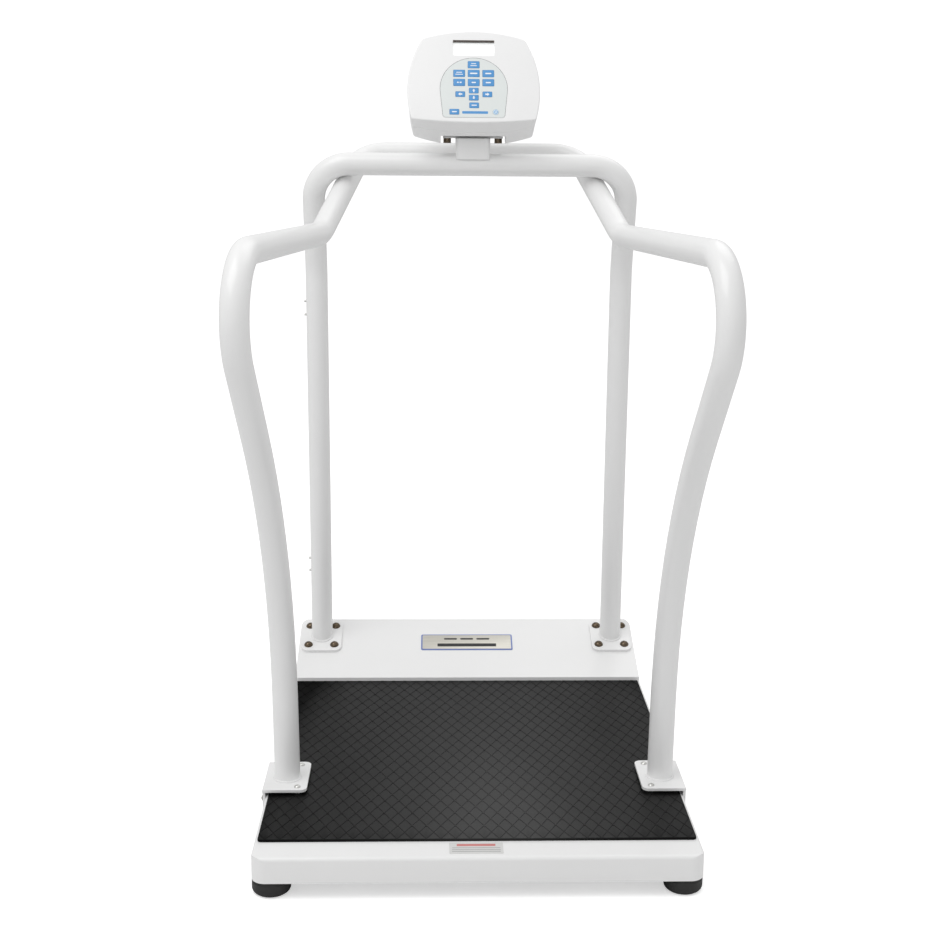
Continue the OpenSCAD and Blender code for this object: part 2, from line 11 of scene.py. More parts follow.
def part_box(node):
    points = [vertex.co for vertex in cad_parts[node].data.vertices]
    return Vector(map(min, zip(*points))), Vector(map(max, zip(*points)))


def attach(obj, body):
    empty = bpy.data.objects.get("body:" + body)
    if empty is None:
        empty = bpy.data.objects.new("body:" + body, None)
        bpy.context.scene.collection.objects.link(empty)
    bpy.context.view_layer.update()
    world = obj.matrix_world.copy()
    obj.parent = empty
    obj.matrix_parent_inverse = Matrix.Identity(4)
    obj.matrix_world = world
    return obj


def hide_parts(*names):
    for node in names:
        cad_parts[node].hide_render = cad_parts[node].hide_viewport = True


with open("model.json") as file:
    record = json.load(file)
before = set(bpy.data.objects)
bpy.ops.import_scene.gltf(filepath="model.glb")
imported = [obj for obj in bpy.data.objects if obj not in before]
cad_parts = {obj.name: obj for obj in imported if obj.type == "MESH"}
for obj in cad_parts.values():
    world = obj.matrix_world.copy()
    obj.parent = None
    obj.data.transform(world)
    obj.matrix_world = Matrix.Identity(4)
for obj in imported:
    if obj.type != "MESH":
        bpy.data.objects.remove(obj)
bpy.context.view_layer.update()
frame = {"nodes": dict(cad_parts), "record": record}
BODY = "scale"
MM = 0.001

# ---------------------------------------------------------------- driving places and sizes

mat_lo, mat_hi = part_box("tread_mat")
MAT_FRONT = mat_lo.y              # the tubes' depths are measured from the mat's front edge
TUBE_R = 0.019
TUBE_WALL = 0.002
SLOPE = math.radians(19.9)        # of the rear housing
HEAD_TILT = math.radians(26)      # lean of the display's face
HEAD_X = (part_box("neck_bracket")[0].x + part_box("neck_bracket")[1].x) / 2
HEAD_AT = Vector((HEAD_X, MAT_FRONT + 0.600, 1.041))
HEAD = Matrix.Translation(HEAD_AT) @ Matrix.Rotation(-HEAD_TILT, 4, "X")
FACE_H = 0.159
FRONT_D = 0.028
HEAD_D = 0.070

# ---------------------------------------------------------------- materials


def node(tree, kind, at, **values):
    n = tree.nodes.new(kind)
    n.location = at
    for key, value in values.items():
        if key in n.inputs:
            n.inputs[key].default_value = value
        else:
            setattr(n, key, value)
    return n


def shader(name, color, rough, metallic=0.0, mottle=0.02, mottle_size=0.05, grain=0.05, grain_size=0.0006,
           rough_vary=0.06, coat=0.0, stretch=(1, 1, 1), specular=0.5, glow=0.0):
    """A surface with slow colour and gloss variation and a fine grain in relief."""
    m = bpy.data.materials.new(name)
    m.use_nodes = True
    t = m.node_tree
    p = t.nodes["Principled BSDF"]
    p.inputs["Metallic"].default_value = metallic
    p.inputs["Coat Weight"].default_value = coat
    p.inputs["Coat Roughness"].default_value = 0.12
    p.inputs["Specular IOR Level"].default_value = specular
    place = node(t, "ShaderNodeTexCoord", (-1100, 0))
    scale = node(t, "ShaderNodeMapping", (-920, 0), Scale=stretch)
    t.links.new(place.outputs["Object"], scale.inputs["Vector"])
    slow = node(t, "ShaderNodeTexNoise", (-700, 200), Scale=1 / mottle_size, Detail=3.0, Roughness=0.55)
    fine = node(t, "ShaderNodeTexNoise", (-700, -200), Scale=1 / grain_size, Detail=2.0, Roughness=0.5)
    t.links.new(scale.outputs["Vector"], slow.inputs["Vector"])
    t.links.new(scale.outputs["Vector"], fine.inputs["Vector"])
    ramp = node(t, "ShaderNodeValToRGB", (-450, 250))
    dark = [c * (1 - mottle) for c in color[:3]]
    light = [min(c * (1 + mottle), 1) for c in color[:3]]
    ramp.color_ramp.elements[0].position = 0.3
    ramp.color_ramp.elements[1].position = 0.7
    ramp.color_ramp.elements[0].color = (*dark, 1)
    ramp.color_ramp.elements[1].color = (*light, 1)
    t.links.new(slow.outputs["Fac"], ramp.inputs["Fac"])
    t.links.new(ramp.outputs["Color"], p.inputs["Base Color"])
    if glow:
        t.links.new(ramp.outputs["Color"], p.inputs["Emission Color"])
        p.inputs["Emission Strength"].default_value = glow
    gloss = node(t, "ShaderNodeMapRange", (-450, 0))
    gloss.inputs["To Min"].default_value = rough - rough_vary
    gloss.inputs["To Max"].default_value = rough + rough_vary
    t.links.new(slow.outputs["Fac"], gloss.inputs["Value"])
    t.links.new(gloss.outputs["Result"], p.inputs["Roughness"])
    bump = node(t, "ShaderNodeBump", (-250, -250), Strength=grain, Distance=0.0002)
    t.links.new(fine.outputs["Fac"], bump.inputs["Height"])
    t.links.new(bump.outputs["Normal"], p.inputs["Normal"])
    return m


PAINT = shader("white_powder_coat", (0.84, 0.84, 0.838), 0.34, mottle=0.006, mottle_size=0.09, grain=0.10,
               grain_size=0.0016, rough_vary=0.04, coat=0.25)
FRAME_PAINT = shader("grey_frame_paint", (0.48, 0.49, 0.49), 0.5, mottle=0.04, grain=0.15)
CELL = shader("machined_aluminium", (0.62, 0.63, 0.64), 0.38, metallic=1.0, mottle=0.05, mottle_size=0.004,
              stretch=(1, 0.05, 1))
ZINC = shader("zinc_steel", (0.62, 0.62, 0.60), 0.32, metallic=1.0, mottle=0.08, mottle_size=0.003)
BRONZE = shader("dark_oxide_steel", (0.13, 0.10, 0.07), 0.26, metallic=1.0, mottle=0.35, mottle_size=0.004,
                rough_vary=0.10)
RUBBER = shader("black_foot_rubber", (0.012, 0.012, 0.012), 0.55, mottle=0.2, mottle_size=0.01, grain=0.3)
MAT_RUBBER = shader("tread_rubber", (0.014, 0.014, 0.0137), 0.36, mottle=0.25, mottle_size=0.045, grain=0.35,
                    grain_size=0.0009, rough_vary=0.08, specular=0.36)
TREAD_NUB = shader("tread_nub", (0.010, 0.010, 0.010), 0.20, mottle=0.25, specular=0.5)
# Painted shade: the tread mat's grooves and base are coloured darker than its diamonds, for the shade in the
# grooves.
MAT_GROOVE_SHADE = shader("tread_groove_shade", (0.006, 0.006, 0.006), 0.5, mottle=0.2, grain=0.3, specular=0.3)
BADGE = shader("brushed_badge", (0.62, 0.60, 0.54), 0.3, metallic=0.6, mottle=0.08, mottle_size=0.0015,
               stretch=(0.03, 1, 1))
BADGE_BLUE = shader("badge_blue_rim", (0.16, 0.22, 0.50), 0.4, mottle=0.1)
INK = shader("dark_print", (0.010, 0.010, 0.011), 0.45, mottle=0.2)
LABEL = shader("label_film", (0.66, 0.66, 0.65), 0.42, mottle=0.02)
LABEL_BAND = shader("label_band", (0.60, 0.20, 0.19), 0.45, mottle=0.05)
LABEL_LINE = shader("label_line", (0.36, 0.36, 0.36), 0.45, mottle=0.05)
PLASTIC = shader("moulded_white_plastic", (0.86, 0.86, 0.86), 0.42, mottle=0.006, grain=0.22,
                 grain_size=0.0009, rough_vary=0.04)
# Painted shade: a dark colour for the walls of the gap round the keypad, where shade falls.
KEYPAD_EDGE_SHADE = shader("painted_keypad_edge_shade", (0.10, 0.10, 0.10), 0.6, mottle=0.1)
OVERLAY = shader("keypad_film", (0.74, 0.775, 0.765), 0.36, mottle=0.01, grain=0.12, grain_size=0.0008)
KEY = shader("blue_key_print", (0.088, 0.305, 0.640), 0.36, mottle=0.04, mottle_size=0.006, grain=0.1)
PRINT = shader("white_print", (0.88, 0.90, 0.92), 0.4, mottle=0.01)
POWER_KEY = shader("pale_power_key", (0.60, 0.74, 0.86), 0.36, mottle=0.02)
# Painted shade: a dark brown colour for the shade under the display window's top edge.
WINDOW_SHADE = shader("painted_window_shade", (0.060, 0.040, 0.032), 0.5, mottle=0.2)
# Painted light: the display's backing glows a little (emission) though it is no lamp, standing in for the
# light that makes the display read white.
LCD = shader("lcd_backing_painted_glow", (0.95, 0.955, 0.95), 0.22, mottle=0.01, grain=0.02, glow=0.35)
BOARD = shader("solder_mask", (0.012, 0.10, 0.035), 0.35, mottle=0.2, mottle_size=0.008)
CELL_WRAP = shader("battery_wrap", (0.42, 0.25, 0.045), 0.3, mottle=0.1)


def painted_reflection_fade(m, middle, reach, stops):
    """Painted reflection: fades a surface's colour and gloss from a middle outwards; stops are distance,
    strength.
    """
    t = m.node_tree
    p = t.nodes["Principled BSDF"]
    place = node(t, "ShaderNodeTexCoord", (-1500, 500))
    squash = node(t, "ShaderNodeMapping", (-1300, 500), vector_type="POINT",
                  Location=tuple(-c / r for c, r in zip(middle, reach)), Scale=tuple(1 / r for r in reach))
    far = node(t, "ShaderNodeVectorMath", (-1100, 500), operation="LENGTH")
    fade = node(t, "ShaderNodeValToRGB", (-900, 500))
    t.links.new(place.outputs["Object"], squash.inputs["Vector"])
    t.links.new(squash.outputs["Vector"], far.inputs[0])
    t.links.new(far.outputs["Value"], fade.inputs["Fac"])
    marks = fade.color_ramp.elements
    while len(marks) < len(stops):
        marks.new(0.5)
    for mark, (at, strength) in zip(marks, stops):
        mark.position = at
        mark.color = (strength, strength, strength, 1)
    tone = node(t, "ShaderNodeVectorMath", (-200, 400), operation="MULTIPLY")
    t.links.new(p.inputs["Base Color"].links[0].from_socket, tone.inputs[0])
    t.links.new(fade.outputs["Color"], tone.inputs[1])
    t.links.new(tone.outputs["Vector"], p.inputs["Base Color"])
    shine = node(t, "ShaderNodeMath", (-200, 250), operation="MULTIPLY")
    t.links.new(fade.outputs["Color"], shine.inputs[0])
    shine.inputs[1].default_value = p.inputs["Specular IOR Level"].default_value
    t.links.new(shine.outputs["Value"], p.inputs["Specular IOR Level"])


# Painted reflection: the mat is lighter in its front middle and darker towards its sides and rear corners.
# Fitted to the mat's tones under studio light. It stands in for reflections; the mat isn't known to be worn
# there.
REFLECTION_FADE_AT = (0.03, MAT_FRONT - 0.02, 0.0)
REFLECTION_FADE_REACH = (0.625, 1.82, 1.82)
REFLECTION_FADE_STOPS = ((0.08, 1.0), (0.20, 0.58), (0.36, 0.34), (0.50, 0.25), (0.58, 0.03))
for rubber in (MAT_RUBBER, MAT_GROOVE_SHADE, TREAD_NUB):
    painted_reflection_fade(rubber, REFLECTION_FADE_AT, REFLECTION_FADE_REACH, REFLECTION_FADE_STOPS)


def clear_lens():
    """A thin clear window that lets the light through to the display behind it."""
    m = bpy.data.materials.new("clear_lens")
    m.use_nodes = True
    t = m.node_tree
    p = t.nodes["Principled BSDF"]
    p.inputs["Alpha"].default_value = 0.10
    p.inputs["IOR"].default_value = 1.46
    haze = node(t, "ShaderNodeTexNoise", (-500, 0), Scale=400.0, Detail=2.0)
    span = node(t, "ShaderNodeMapRange", (-300, 0))
    span.inputs["To Min"].default_value = 0.04
    span.inputs["To Max"].default_value = 0.12
    place = node(t, "ShaderNodeTexCoord", (-700, 0))
    t.links.new(place.outputs["Object"], haze.inputs["Vector"])
    t.links.new(haze.outputs["Fac"], span.inputs["Value"])
    t.links.new(span.outputs["Result"], p.inputs["Roughness"])
    tint = node(t, "ShaderNodeMix", (-300, 250), data_type="RGBA")
    tint.inputs["A"].default_value = (0.97, 0.98, 0.975, 1)
    tint.inputs["B"].default_value = (0.93, 0.95, 0.945, 1)
    t.links.new(haze.outputs["Fac"], tint.inputs["Factor"])
    t.links.new(tint.outputs["Result"], p.inputs["Base Color"])
    return m


LENS = clear_lens()

SLOT_LOOK = {
    "painted_white": PAINT, "frame_grey": FRAME_PAINT, "cell_metal": CELL, "zinc_steel": ZINC,
    "bronze_bolt": BRONZE, "black_rubber": RUBBER, "mat_rubber": MAT_RUBBER, "badge_metal": BADGE,
    "label_film": LABEL, "head_plastic": PLASTIC, "overlay_film": OVERLAY, "key_blue": KEY,
    "key_power": POWER_KEY, "lcd_clear": LENS, "lcd_green": LCD, "board_green": BOARD, "cell_wrap": CELL_WRAP,
}
SLOT_OF = {s["node"]: s["material_slot"] for s in frame["record"]["subparts"]}
for name, obj in frame["nodes"].items():
    obj.data.materials.clear()
    obj.data.materials.append(SLOT_LOOK[SLOT_OF[name]])

# ---------------------------------------------------------------- mesh helpers


def make(name, verts, faces, looks, stands_for=(), body=BODY, look_of=None, flat=False, sharp=35, at=None):
    """A piece from vertices and faces; look_of gives each face's material number."""
    me = bpy.data.meshes.new(name)
    me.from_pydata([tuple(v) for v in verts], [], [tuple(int(i) for i in f) for f in faces])
    if at is not None:
        me.transform(at)
    for look in looks:
        me.materials.append(look)
    if look_of is not None:
        me.polygons.foreach_set("material_index", np.asarray(look_of, int))
    me.validate()
    bm = bmesh.new()
    bm.from_mesh(me)
    bmesh.ops.recalc_face_normals(bm, faces=bm.faces)
    bm.to_mesh(me)
    bm.free()
    obj = bpy.data.objects.new(name, me)
    bpy.context.scene.collection.objects.link(obj)
    finish_piece(obj, stands_for, body, flat, sharp)
    return obj


def finish_piece(obj, stands_for, body, flat=False, sharp=35):
    me = obj.data
    me.polygons.foreach_set("use_smooth", [not flat] * len(me.polygons))
    if not flat:
        me.set_sharp_from_angle(angle=math.radians(sharp))
    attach(obj, body)
    if stands_for:
        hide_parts(*stands_for)


def loft(rings, closed_ends=True):
    """Vertices and faces through rings of equal length."""
    n = len(rings[0])
    verts = [p for ring in rings for p in ring]
    faces = []
    for k in range(len(rings) - 1):
        for i in range(n):
            j = (i + 1) % n
            faces.append((k * n + i, k * n + j, (k + 1) * n + j, (k + 1) * n + i))
    if closed_ends:
        faces.append(tuple(range(n))[::-1])
        faces.append(tuple((len(rings) - 1) * n + i for i in range(n)))
    return verts, faces


def cut(obj, verts, faces, look=None):
    """Takes a closed shape out of a piece."""
    me = bpy.data.meshes.new("cutter")
    me.from_pydata([tuple(v) for v in verts], [], [tuple(f) for f in faces])
    if look:
        me.materials.append(look)
    bm = bmesh.new()
    bm.from_mesh(me)
    bmesh.ops.recalc_face_normals(bm, faces=bm.faces)
    bm.to_mesh(me)
    bm.free()
    tool = bpy.data.objects.new("cutter", me)
    bpy.context.scene.collection.objects.link(tool)
    mod = obj.modifiers.new("cut", "BOOLEAN")
    mod.operation = "DIFFERENCE"
    mod.solver = "EXACT"
    mod.object = tool
    mod.material_mode = "TRANSFER"
    bpy.context.view_layer.update()
    done = bpy.data.meshes.new_from_object(obj.evaluated_get(bpy.context.evaluated_depsgraph_get()))
    obj.modifiers.clear()
    obj.data = done
    bpy.data.objects.remove(tool)
    bpy.data.meshes.remove(me)


def rounded_rect(w, h, r, steps=5):
    """Points round a rectangle with rounded corners, middle at the origin."""
    pts = []
    for k, (sx, sy) in enumerate([(1, 1), (-1, 1), (-1, -1), (1, -1)]):
        for i in range(steps + 1):
            a = math.radians(90 * k + 90 * i / steps)
            pts.append((sx * (w / 2 - r) + r * math.cos(a), sy * (h / 2 - r) + r * math.sin(a)))
    return pts


def circle(r, steps=32):
    return [(r * math.cos(2 * math.pi * i / steps), r * math.sin(2 * math.pi * i / steps))
            for i in range(steps)]


def prism(outline, lo, hi, depth_axis="y"):
    """An outline in x and z (or x and y) between two depths."""
    if depth_axis == "y":
        return loft([[(x, lo, z) for x, z in outline], [(x, hi, z) for x, z in outline]])
    return loft([[(x, z, lo) for x, z in outline], [(x, z, hi) for x, z in outline]])


def pillow(outline_at, lo, hi, edge, steps=3, depth_axis="z"):
    """A plate with rounded upper edges; outline_at(g) is the outline moved outwards by g."""
    rings = [[(x, y, lo) for x, y in outline_at(0)]]
    for i in range(steps + 1):
        a = math.pi / 2 * i / steps
        g = -edge * (1 - math.cos(a))
        z = hi - edge * (1 - math.sin(a))
        rings.append([(x, y, z) for x, y in outline_at(g)])
    verts, faces = loft(rings)
    if depth_axis == "y":
        verts = [(x, -z, y) for x, y, z in verts]
    return verts, faces


def join_parts(parts):
    """Puts (verts, faces, look number) parts together."""
    verts, faces, looks = [], [], []
    for v, f, look in parts:
        base = len(verts)
        verts += [tuple(p) for p in v]
        faces += [tuple(i + base for i in face) for face in f]
        looks += [look] * len(f)
    return verts, faces, looks


# ---------------------------------------------------------------- tubes


def bent_route(points, radii, step=math.radians(3)):
    """Points along a route whose inner corners are rounded with the given radii."""
    out = [points[0]]
    for i in range(1, len(points) - 1):
        a = (points[i - 1] - points[i]).normalized()
        b = (points[i + 1] - points[i]).normalized()
        half = a.angle(b) / 2
        r = radii[i]
        centre = points[i] + (a + b).normalized() * (r / math.sin(half))
        start = points[i] + a * (r / math.tan(half))
        turn = math.pi - 2 * half
        u = (start - centre).normalized()
        v = (-a).normalized()
        n = max(2, math.ceil(turn / step))
        out += [centre + r * (math.cos(turn * k / n) * u + math.sin(turn * k / n) * v) for k in range(n + 1)]
    out.append(points[-1])
    return out


def sweep(path, radius, sides=48, first_x=Vector((1, 0, 0)), closed=False, ripple=None):
    """Rings of a round section carried along a path without twisting."""
    n = len(path)
    rings = []
    x = None
    for i in range(n):
        before = path[(i - 1) % n] if closed or i > 0 else path[i]
        after = path[(i + 1) % n] if closed or i < n - 1 else path[i]
        d = (after - before).normalized()
        x = (first_x if x is None else x)
        x = (x - d * x.dot(d)).normalized()
        y = d.cross(x)
        r = radius if ripple is None else radius * ripple(i / n)
        rings.append([path[i] + r * (math.cos(t) * x + math.sin(t) * y)
                      for t in (2 * math.pi * k / sides for k in range(sides))])
    return rings


def at_depth(x, y, z):
    """A point given in millimetres, its depth measured from the mat's front edge."""
    return Vector((x * MM, MAT_FRONT + y * MM, z * MM))


def mirrored_loop(half):
    """A route from the right foot to the middle, carried on to the left foot."""
    return half[:-1] + [Vector((-p.x, p.y, p.z)) for p in half[::-1]][1:]


RAIL_FOOT_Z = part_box("front_bracket_right")[1].z
rail_half = bent_route(
    [at_depth(280.5, 185.5, RAIL_FOOT_Z / MM), at_depth(284, 185.5, 432), at_depth(320.5, -124, 870),
     at_depth(247.5, 571, 856), at_depth(187.5, 755, 984), at_depth(0, 755, 984)],
    [0, 0.730, 0.091, 0.065, 0.056, 0])
rail_loop = mirrored_loop(rail_half)


def open_tube(path, slope=0.0):
    """A hollow tube, its two ends cut to the plane that rises with slope towards +Y."""
    outer = sweep(path, TUBE_R)
    inner = sweep(path, TUBE_R - TUBE_WALL)
    for rings in (outer, inner):
        for end in (0, -1):
            base = path[end]
            rings[end] = [Vector((p.x, p.y, base.z + (p.y - base.y) * math.tan(slope))) for p in rings[end]]
    rings = outer + inner[::-1]
    verts, faces = loft(rings + [rings[0]], closed_ends=False)
    return verts, faces


def welded(name, verts, faces, nodes):
    obj = make(name, verts, faces, [PAINT], nodes)
    bm = bmesh.new()
    bm.from_mesh(obj.data)
    bmesh.ops.remove_doubles(bm, verts=bm.verts, dist=1e-6)
    bmesh.ops.recalc_face_normals(bm, faces=bm.faces)
    bm.to_mesh(obj.data)
    bm.free()
    obj.data.set_sharp_from_angle(angle=math.radians(50))
    return obj


v, f = open_tube(rail_loop)
welded("handrail_loop", v, f, ["handrail_left", "handrail_crossbar", "handrail_right"])

POST_X, POST_Y = 266.5, 710.5
HOUSING_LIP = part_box("deck_pan")[1].z + 0.009
FLANGE_T = 0.005


def flange_top(y):
    """Height of the rear flanges' top plane at a depth measured from the mat's front edge."""
    return HOUSING_LIP + (y * MM - 0.604) * math.tan(SLOPE) + FLANGE_T / math.cos(SLOPE)


column_half = bent_route(
    [at_depth(POST_X, POST_Y, flange_top(POST_Y) / MM), at_depth(POST_X, POST_Y, 787),
     at_depth(POST_X, 661, 967), at_depth(0, 661, 967)],
    [0, 0.150, 0.062, 0])
v, f = open_tube(mirrored_loop(column_half), SLOPE)
welded("column_loop", v, f, ["column_left", "column_crossbar", "column_right"])


def weld_bead(name, centre, slope, size=0.0021):
    """A rippled fillet weld round a tube's foot, on a plane that rises with slope."""
    ring = []
    steps = 120
    for i in range(steps):
        a = 2 * math.pi * i / steps
        x, y = TUBE_R * math.cos(a), TUBE_R * math.sin(a)
        ring.append(centre + Vector((x, y, y * math.tan(slope) + 0.0003)))
    rings = sweep(ring, size, sides=12, first_x=Vector((1, 0, 0)), closed=True,
                  ripple=lambda s: 1 + 0.10 * math.sin(2 * math.pi * 30 * s))
    v, f = loft(rings + [rings[0]], closed_ends=False)
    obj = make(name, v, f, [PAINT])
    bm = bmesh.new()
    bm.from_mesh(obj.data)
    bmesh.ops.remove_doubles(bm, verts=bm.verts, dist=1e-6)
    bm.to_mesh(obj.data)
    bm.free()
    return obj


for side, word in ((-1, "left"), (1, "right")):
    foot = rail_half[0]
    weld_bead(f"rail_weld_{word}", Vector((side * foot.x, foot.y, foot.z)), 0)
    foot = column_half[0]
    weld_bead(f"column_weld_{word}", Vector((side * foot.x, foot.y, foot.z)), SLOPE)

# ---------------------------------------------------------------- tread mat

NET_X = 0.0203        # width of one diamond of the tread
NET_Y = 0.0398        # its length
GROOVE = 0.00035       # half width of the groove between two diamonds
RELIEF = 0.0005       # depth of the grooves
NUB_X, NUB_Y = 0.0026, 0.0012     # half width and half length of a grip between diamonds


def tread_mat():
    lo, hi = mat_lo, mat_hi
    base_z = lo.z
    floor_z = hi.z - RELIEF
    w, d = hi.x - lo.x, hi.y - lo.y
    cx, cy = (lo.x + hi.x) / 2, (lo.y + hi.y) / 2
    parts = []
    rim = rounded_rect(w, d, 0.006)
    # The base and the floor between the diamonds take the grooves' painted shade.
    v, f = loft([[(cx + x, cy + y, base_z) for x, y in rim],
                 [(cx + x, cy + y, floor_z - 0.0006) for x, y in rim],
                 [(cx + x * (1 - 0.0008 / w), cy + y * (1 - 0.0008 / d), floor_z) for x, y in rim]])
    parts.append((v, f, 1))
    slope_len = math.hypot(NET_X, NET_Y)
    inset_x = GROOVE * slope_len / NET_Y
    inset_y = GROOVE * slope_len / NET_X
    hx, hy = NET_X / 2 - inset_x, NET_Y / 2 - inset_y
    edge = 0.0010
    verts, faces, nubs = [], [], []
    rows = int(d / (NET_Y / 2)) + 2
    cols = int(w / NET_X) + 2
    for r in range(rows):
        for c in range(cols):
            x = lo.x + c * NET_X + (NET_X / 2 if r % 2 else 0)
            y = lo.y + r * NET_Y / 2
            corners = [(x + hx, y), (x, y + hy), (x - hx, y), (x, y - hy)]
            shape = clip(corners, lo.x + edge, hi.x - edge, lo.y + edge, hi.y - edge)
            if len(shape) < 3:
                continue
            mx = sum(p[0] for p in shape) / len(shape)
            my = sum(p[1] for p in shape) / len(shape)
            b = len(verts)
            n = len(shape)
            for k, z in ((1.0, floor_z - 0.0001), (0.965, hi.z - 0.00018), (0.92, hi.z)):
                verts += [(mx + (px - mx) * k, my + (py - my) * k, z) for px, py in shape]
            for s in range(2):
                for i in range(n):
                    j = (i + 1) % n
                    faces.append((b + s * n + i, b + s * n + j, b + (s + 1) * n + j, b + (s + 1) * n + i))
            faces.append(tuple(b + 2 * n + i for i in range(n)))
            faces.append(tuple(b + i for i in range(n))[::-1])
            if len(shape) == 4 and lo.x + 0.008 < x - NET_X / 2 and x + 0.004 < hi.x:
                nubs.append((x - NET_X / 2, y))
    parts.append((verts, faces, 0))
    parts.append((*tread_nubs(nubs, hi.z), 2))
    v, f, looks = join_parts(parts)
    return make("tread_mat_relief", v, f, [MAT_RUBBER, MAT_GROOVE_SHADE, TREAD_NUB], ["tread_mat"],
                look_of=looks, sharp=20)


def tread_nubs(places, top):
    """Small lens-shaped grips where the diamonds meet."""
    verts, faces = [], []
    n = 8
    for x, y in places:
        b = len(verts)
        for k, z in ((1.0, top - 0.0006), (0.8, top + 0.00005), (0.4, top + 0.0003)):
            verts += [(x + NUB_X * k * math.cos(2 * math.pi * i / n),
                       y + NUB_Y * k * math.sin(2 * math.pi * i / n), z) for i in range(n)]
        for s in range(2):
            for i in range(n):
                j = (i + 1) % n
                faces.append((b + s * n + i, b + s * n + j, b + (s + 1) * n + j, b + (s + 1) * n + i))
        faces.append(tuple(b + 2 * n + i for i in range(n)))
        faces.append(tuple(b + i for i in range(n))[::-1])
    return verts, faces


def clip(shape, x0, x1, y0, y1):
    """The part of a convex outline inside a rectangle."""
    for axis, bound, keep in ((0, x0, 1), (0, x1, -1), (1, y0, 1), (1, y1, -1)):
        out = []
        for i, p in enumerate(shape):
            q = shape[(i + 1) % len(shape)]
            inside_p = keep * (p[axis] - bound) >= 0
            inside_q = keep * (q[axis] - bound) >= 0
            if inside_p:
                out.append(p)
            if inside_p != inside_q:
                s = (bound - p[axis]) / (q[axis] - p[axis])
                out.append((p[0] + s * (q[0] - p[0]), p[1] + s * (q[1] - p[1])))
        shape = out
        if len(shape) < 3:
            return []
    return shape


tread_mat()

# ---------------------------------------------------------------- badge and label


def on_slope(y):
    """Frame of a point on the housing's slope: x across, y up the slope, z out of it."""
    height = HOUSING_LIP + (y * MM - 0.604) * math.tan(SLOPE)
    return Matrix.Translation((0, MAT_FRONT + y * MM, height)) @ Matrix.Rotation(SLOPE, 4, "X")


def badge():
    w, d, t = 0.168, 0.044, 0.0015
    parts = []
    v, f = pillow(lambda g: rounded_rect(w + 2 * g, d + 2 * g, 0.003), 0, t - 0.0004, 0.0005)
    parts.append((v, f, 1))
    v, f = pillow(lambda g: rounded_rect(w - 0.005 + 2 * g, d - 0.005 + 2 * g, 0.002), 0.0004, t, 0.0002)
    parts.append((v, f, 0))
    v, f = prism([(x, y - 0.009) for x, y in rounded_rect(0.108, 0.0085, 0.0008)], 0.0012, t + 0.0001, "z")
    parts.append((v, f, 2))
    for i in range(3):
        ring = [(x + (i - 1) * 0.030, y + 0.0085) for x, y in rounded_rect(0.024, 0.0042, 0.002)]
        v, f = prism(ring, 0.0012, t + 0.0001, "z")
        parts.append((v, f, 2))
    v, f, looks = join_parts(parts)
    make("badge_blank", v, f, [BADGE, BADGE_BLUE, INK], ["badge_plate"], look_of=looks, at=on_slope(696))


badge()


def label():
    lo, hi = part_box("caution_label")
    w, d, t = hi.x - lo.x, hi.y - lo.y, hi.z - lo.z
    parts = []
    v, f = prism(rounded_rect(w, d, 0.0015), 0, t, "z")
    parts.append((v, f, 0))
    band = [(x, y + 0.0085) for x, y in rounded_rect(w * 0.72, 0.0062, 0.0006)]
    v, f = prism(band, t * 0.5, t + 0.00005, "z")
    parts.append((v, f, 1))
    for i in range(3):
        line = [(x, y + 0.0005 - i * 0.0052) for x, y in rounded_rect(w * 0.90, 0.0017, 0.0004)]
        v, f = prism(line, t * 0.5, t + 0.00005, "z")
        parts.append((v, f, 2))
    v, f, looks = join_parts(parts)
    place = Matrix.Translation(((lo.x + hi.x) / 2, (lo.y + hi.y) / 2, lo.z))
    make("front_label", v, f, [LABEL, LABEL_BAND, LABEL_LINE], ["caution_label"], look_of=looks, at=place)


label()

# ---------------------------------------------------------------- display head

CORNER_R = (0.014, 0.014, 0.0052, 0.0052)      # upper right, upper left, lower left, lower right
SIDE_R, TOP_R = 0.190, 0.268
# side arcs' centre, then centre and radius of the lower arc: at the front, parting plane and back
FRONT_SHAPE = (0.0805, 0.890, 0.896)
PARTING_SHAPE = (0.0819, 0.4793, 0.490)
REAR_SHAPE = (0.083, 0.282, 0.2995)


def circle_meet(a, b, near):
    """Where two circles (x, z, radius) meet, on the side of the point near."""
    p, q = Vector(a[:2]), Vector(b[:2])
    d = (q - p).length
    along = (a[2] ** 2 - b[2] ** 2 + d * d) / (2 * d)
    off = math.sqrt(max(a[2] ** 2 - along * along, 0))
    u = (q - p) / d
    side = Vector((-u.y, u.x))
    options = [p + u * along + side * off, p + u * along - side * off]
    return min(options, key=lambda o: (o - Vector(near)).length)


def arc_points(centre, r, a0, a1, n):
    while a1 < a0:
        a1 += 2 * math.pi
    steps = [a0 + (a1 - a0) * k / n for k in range(n)]
    return [(centre[0] + r * math.cos(a), centre[1] + r * math.sin(a)) for a in steps]


def angle_to(centre, p):
    return math.atan2(p[1] - centre[1], p[0] - centre[0])


